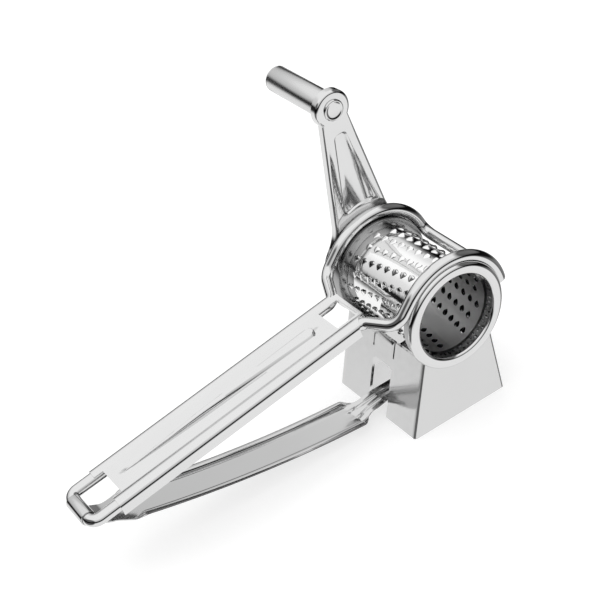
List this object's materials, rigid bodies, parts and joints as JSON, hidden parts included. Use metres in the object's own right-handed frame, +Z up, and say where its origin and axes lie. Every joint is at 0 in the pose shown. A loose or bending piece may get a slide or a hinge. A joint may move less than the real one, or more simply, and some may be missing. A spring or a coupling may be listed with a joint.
{
  "type": "rotary cheese grater",
  "caption": "Hand-held rotary grater: punched drum with a side crank, held in a wire frame over a wedge hopper, squeezed by a hinged lower handle.",
  "frame": {"origin": "centre of the whole grater's footprint, on the plane of the hopper's rim that it stands on", "axes": "+X from the handles' hinge toward the drum, +Y along the drum from its open end to its crank, +Z up"},
  "size_m": [0.2132, 0.109, 0.1487],
  "materials": {
    "mirror_polished_steel": "mirror polished stainless steel",
    "satin_steel": "polished stainless steel tube, slightly softer",
    "bush_plastic": "plain moulded"
  },
  "bodies": {
    "frame": {"frame_wire": "mirror_polished_steel", "upper_handle": "mirror_polished_steel", "hopper": "mirror_polished_steel"},
    "drum": {"drum_tube": "mirror_polished_steel", "drum_front_flange": "mirror_polished_steel", "front_bearing_ring": "mirror_polished_steel", "rear_bearing_ring": "mirror_polished_steel", "drum_end_plate": "mirror_polished_steel", "crank_arm": "mirror_polished_steel", "crank_rivets": "mirror_polished_steel", "grip_stud": "mirror_polished_steel", "stud_washer": "mirror_polished_steel", "grip_washer": "mirror_polished_steel"},
    "grip": {"grip_tube": "satin_steel", "grip_end_cap": "satin_steel", "grip_inner_bush": "bush_plastic", "grip_outer_bush": "bush_plastic"},
    "lever": {"lower_handle": "mirror_polished_steel", "press_plate": "mirror_polished_steel", "press_plate_rivets": "mirror_polished_steel"}
  },
  "joints": [
    {"name": "drum_spin", "type": "hinge", "parent": "frame", "child": "drum", "pos_m": [0.07565, -0.0233, 0.0545], "axis": [0, 1, 0], "continuous": true},
    {"name": "grip_spin", "type": "hinge", "parent": "drum", "child": "grip", "pos_m": [0.06729, -0.0233, 0.13969], "axis": [0, 1, 0], "continuous": true},
    {"name": "lever_swing", "type": "hinge", "parent": "frame", "child": "lever", "pos_m": [-0.10315, -0.0233, 0.0378], "axis": [0, 1, 0], "range_deg": [-6, 100]}
  ]
}
